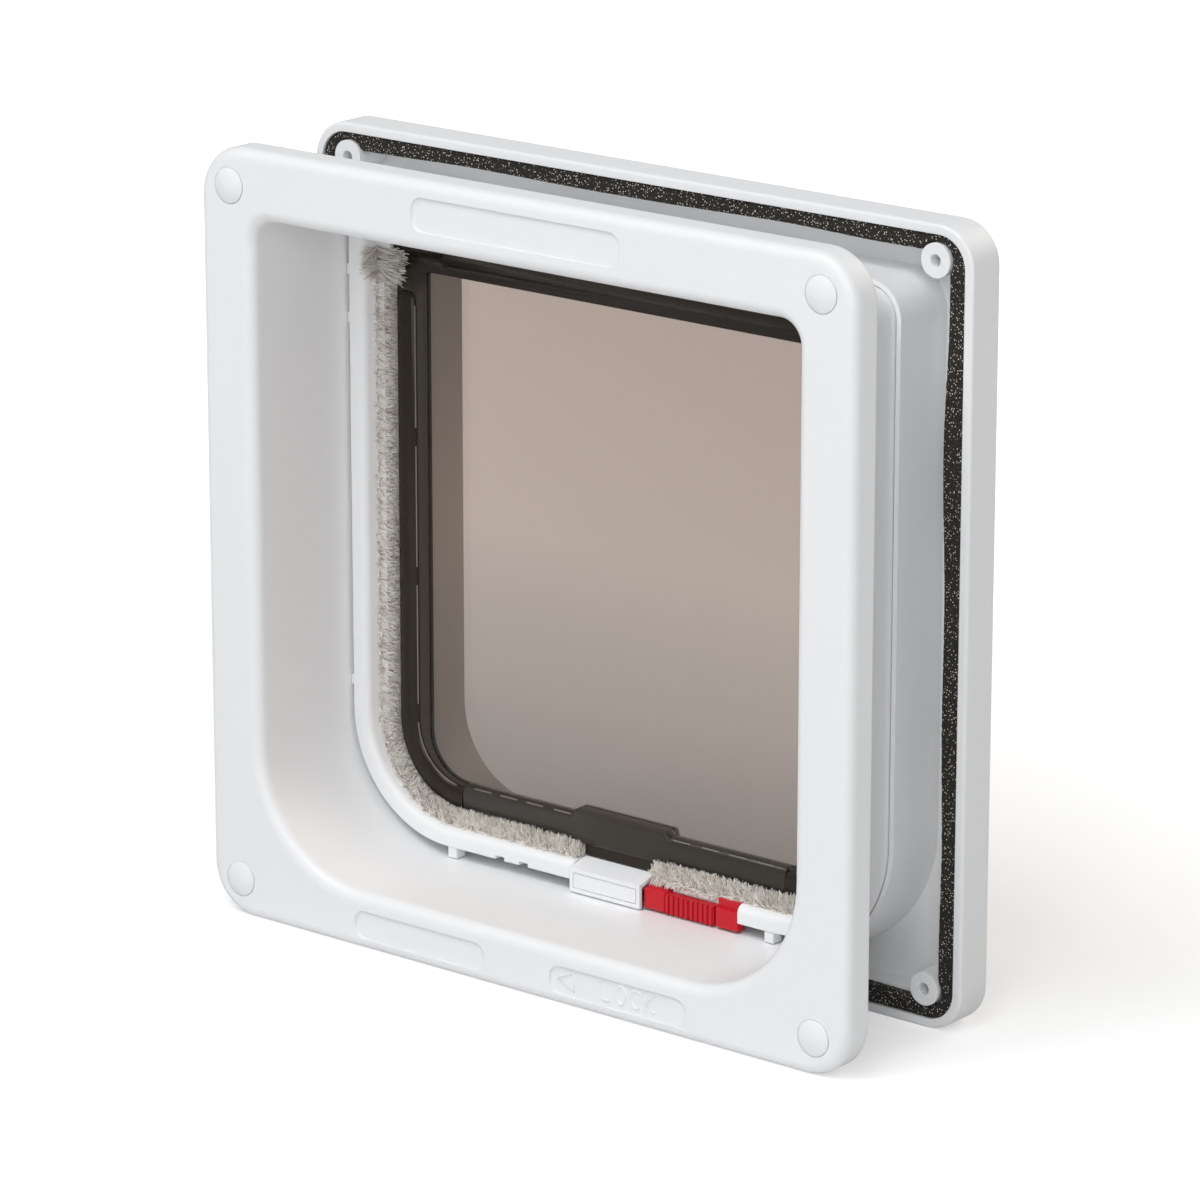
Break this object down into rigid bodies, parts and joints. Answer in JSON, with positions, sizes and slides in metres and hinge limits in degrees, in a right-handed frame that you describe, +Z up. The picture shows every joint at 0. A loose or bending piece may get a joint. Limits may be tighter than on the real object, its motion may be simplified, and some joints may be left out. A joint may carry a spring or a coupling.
{
  "type": "pet door",
  "caption": "Square two-frame pet door with a telescoping liner, a swinging smoked flap, brush and foam seals, a magnetic catch and a sliding lock.",
  "frame": {"origin": "on the floor, midway across the width and the depth of the door's two frames", "axes": "+X to the right seen from indoors, +Y from indoors to outdoors, +Z up"},
  "size_m": [0.2372, 0.0818, 0.231],
  "materials": {
    "white_plastic": "glossy moulded white plastic",
    "smoked_frame": "dark smoked plastic, glossy",
    "smoked_pane": "clear smoked sheet",
    "brush_pile": "woven beige-grey pile",
    "foam": "open-cell dark foam",
    "red_plastic": "satin red plastic",
    "steel": "drawn steel rod",
    "magnet": "sintered magnet"
  },
  "bodies": {
    "exterior": {"exterior_frame": "white_plastic", "foam_seal": "foam", "flap_carrier": "white_plastic", "brush_seal_left": "brush_pile", "brush_seal_right": "brush_pile", "magnet_housing": "white_plastic", "magnet_cover": "white_plastic", "frame_magnet": "magnet"},
    "interior": {"interior_frame": "white_plastic", "screw_cap_1": "white_plastic", "screw_cap_2": "white_plastic", "screw_cap_3": "white_plastic", "screw_cap_4": "white_plastic"},
    "flap": {"flap_frame": "smoked_frame", "flap_pane": "smoked_pane", "flap_bottom_bar": "smoked_frame", "flap_catch": "smoked_frame", "flap_magnet": "magnet", "hinge_rod": "steel"},
    "lock": {"lock_slider": "red_plastic"}
  },
  "joints": [
    {"name": "door_thickness_slide", "type": "slide", "parent": "exterior", "child": "interior", "axis": [0, 1, 0], "range_m": [-0.008, 0.009]},
    {"name": "flap_swing", "type": "hinge", "parent": "exterior", "child": "flap", "pos_m": [0, 0.0104, 0.198], "axis": [1, 0, 0], "range_deg": [-85, 85]},
    {"name": "lock_slide", "type": "slide", "parent": "exterior", "child": "lock", "axis": [-1, 0, 0], "range_m": [0, 0.008]}
  ]
}
